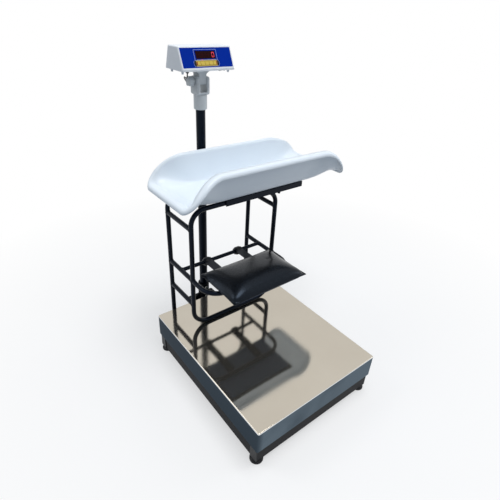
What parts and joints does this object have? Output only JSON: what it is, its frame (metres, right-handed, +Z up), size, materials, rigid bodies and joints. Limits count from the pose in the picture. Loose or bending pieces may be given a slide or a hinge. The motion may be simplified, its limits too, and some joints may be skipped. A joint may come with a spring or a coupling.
{
  "type": "baby and adult platform scale",
  "caption": "Medical platform scale with steel pan, fold-up padded seat, lift-off infant tray and tilting display head on a column.",
  "frame": {"origin": "on the floor, under the middle of the whole object's outline", "axes": "+X to the right of someone facing the display, +Y to the back where the column stands, +Z up"},
  "size_m": [0.707, 0.747, 1.041],
  "materials": {
    "stainless_steel": "mirror-rolled stainless sheet",
    "black_powder_steel": "black powder coat, satin",
    "zinc_steel": "zinc plated, satin",
    "cell_aluminium": "bright milled",
    "black_rubber": "matte",
    "black_plastic": "fine texture",
    "seat_leatherette": "glossy black leatherette",
    "plywood": "sealed plywood, painted black at the edge",
    "tray_plastic": "bluish white, moulded",
    "head_plastic": "light grey, fine texture",
    "overlay_blue": "printed polyester sheet, satin",
    "window_red": "tinted acrylic",
    "key_yellow": "rubber key, satin",
    "key_red": "rubber key, satin",
    "board_green": "fibreglass board, solder mask",
    "battery_case": "sealed battery case"
  },
  "bodies": {
    "base": {"frame_cross_rails": "black_powder_steel", "frame_side_rails": "black_powder_steel", "cell_beams": "black_powder_steel", "rail_end_caps": "black_plastic", "cell_plates": "zinc_steel", "cell_spacers": "zinc_steel", "cell_bolts": "zinc_steel", "load_cell": "cell_aluminium", "weigh_frame": "black_powder_steel", "pan_pads": "black_rubber", "overload_stops": "zinc_steel", "foot_lock_nuts": "zinc_steel", "column_bracket": "black_powder_steel", "clamp_bolts": "zinc_steel", "column_tube": "black_powder_steel"},
    "pan_and_stand": {"pan": "stainless_steel", "stand_front_loop": "black_powder_steel", "stand_rear_arch": "black_powder_steel", "stand_side_bars": "black_powder_steel", "seat_loop": "black_powder_steel", "hinge_bar": "black_powder_steel", "leg_anchors": "black_powder_steel", "leg_plugs": "black_plastic", "anchor_screws": "zinc_steel"},
    "seat": {"seat_arms": "black_powder_steel", "seat_board": "plywood", "seat_screws": "zinc_steel", "seat_cushion": "seat_leatherette"},
    "infant_tray": {"tray": "tray_plastic", "tray_screws": "zinc_steel", "tray_frame": "black_powder_steel"},
    "swivel": {"pole_head": "head_plastic", "tilt_bolt": "zinc_steel", "head_cable": "black_rubber"},
    "knob": {"tilt_knob": "head_plastic"},
    "head": {"head_neck": "head_plastic", "head_housing": "head_plastic", "head_base_cover": "head_plastic", "head_screws": "zinc_steel", "overlay": "overlay_blue", "display_window": "window_red", "key_bezel": "black_plastic", "led_module": "black_plastic", "key_switches": "black_plastic", "display_board": "board_green", "battery": "battery_case", "switch_case": "black_plastic", "cable_gland": "black_plastic"},
    "rocker": {"switch_rocker": "black_plastic"},
    "foot_front_left": {"levelling_foot_front_left": "black_plastic"},
    "foot_front_right": {"levelling_foot_front_right": "black_plastic"},
    "foot_rear_left": {"levelling_foot_rear_left": "black_plastic"},
    "foot_rear_right": {"levelling_foot_rear_right": "black_plastic"},
    "key_body_1": {"key_1": "key_red"},
    "key_body_2": {"key_2": "key_yellow"},
    "key_body_3": {"key_3": "key_yellow"},
    "key_body_4": {"key_4": "key_yellow"},
    "key_body_5": {"key_5": "key_yellow"}
  },
  "joints": [
    {"name": "pan_lift", "type": "slide", "parent": "base", "child": "pan_and_stand", "axis": [0, 0, 1], "range_m": [0, 0.08]},
    {"name": "tray_lift", "type": "slide", "parent": "pan_and_stand", "child": "infant_tray", "axis": [0, 0, 1], "range_m": [0, 0.08]},
    {"name": "seat_fold", "type": "hinge", "parent": "pan_and_stand", "child": "seat", "pos_m": [-0.1005, 0.1745, 0.357], "axis": [-1, 0, 0], "range_deg": [0, 50]},
    {"name": "head_swivel", "type": "hinge", "parent": "base", "child": "swivel", "pos_m": [-0.0945, 0.3235, 0.851], "axis": [0, 0, 1], "range_deg": [-150, 150]},
    {"name": "head_tilt", "type": "hinge", "parent": "swivel", "child": "head", "pos_m": [-0.0945, 0.3235, 0.939], "axis": [1, 0, 0], "range_deg": [-15, 15], "deforming": ["head_cable"]},
    {"name": "knob_turn", "type": "hinge", "parent": "swivel", "child": "knob", "pos_m": [-0.0945, 0.3235, 0.939], "axis": [-1, 0, 0], "continuous": true},
    {"name": "power_rocker", "type": "hinge", "parent": "head", "child": "rocker", "pos_m": [-0.0365, 0.2875, 0.98], "axis": [0, 1, 0], "range_deg": [-7, 7]},
    {"name": "key_press_1", "type": "slide", "parent": "head", "child": "key_body_1", "axis": [0, 0.9107, -0.4131], "range_m": [0, 0.0008], "stiffness_N_per_m": 400},
    {"name": "key_press_2", "type": "slide", "parent": "head", "child": "key_body_2", "axis": [0, 0.9107, -0.4131], "range_m": [0, 0.0008], "stiffness_N_per_m": 400},
    {"name": "key_press_3", "type": "slide", "parent": "head", "child": "key_body_3", "axis": [0, 0.9107, -0.4131], "range_m": [0, 0.0008], "stiffness_N_per_m": 400},
    {"name": "key_press_4", "type": "slide", "parent": "head", "child": "key_body_4", "axis": [0, 0.9107, -0.4131], "range_m": [0, 0.0008], "stiffness_N_per_m": 400},
    {"name": "key_press_5", "type": "slide", "parent": "head", "child": "key_body_5", "axis": [0, 0.9107, -0.4131], "range_m": [0, 0.0008], "stiffness_N_per_m": 400},
    {"name": "foot_turn_front_left", "type": "hinge", "parent": "base", "child": "foot_front_left", "pos_m": [-0.3325, -0.3505, 0], "axis": [0, 0, 1], "continuous": true},
    {"name": "foot_turn_front_right", "type": "hinge", "parent": "base", "child": "foot_front_right", "pos_m": [0.1275, -0.3505, 0], "axis": [0, 0, 1], "continuous": true},
    {"name": "foot_turn_rear_left", "type": "hinge", "parent": "base", "child": "foot_rear_left", "pos_m": [-0.3325, 0.2035, 0], "axis": [0, 0, 1], "continuous": true},
    {"name": "foot_turn_rear_right", "type": "hinge", "parent": "base", "child": "foot_rear_right", "pos_m": [0.1275, 0.2035, 0], "axis": [0, 0, 1], "continuous": true}
  ]
}
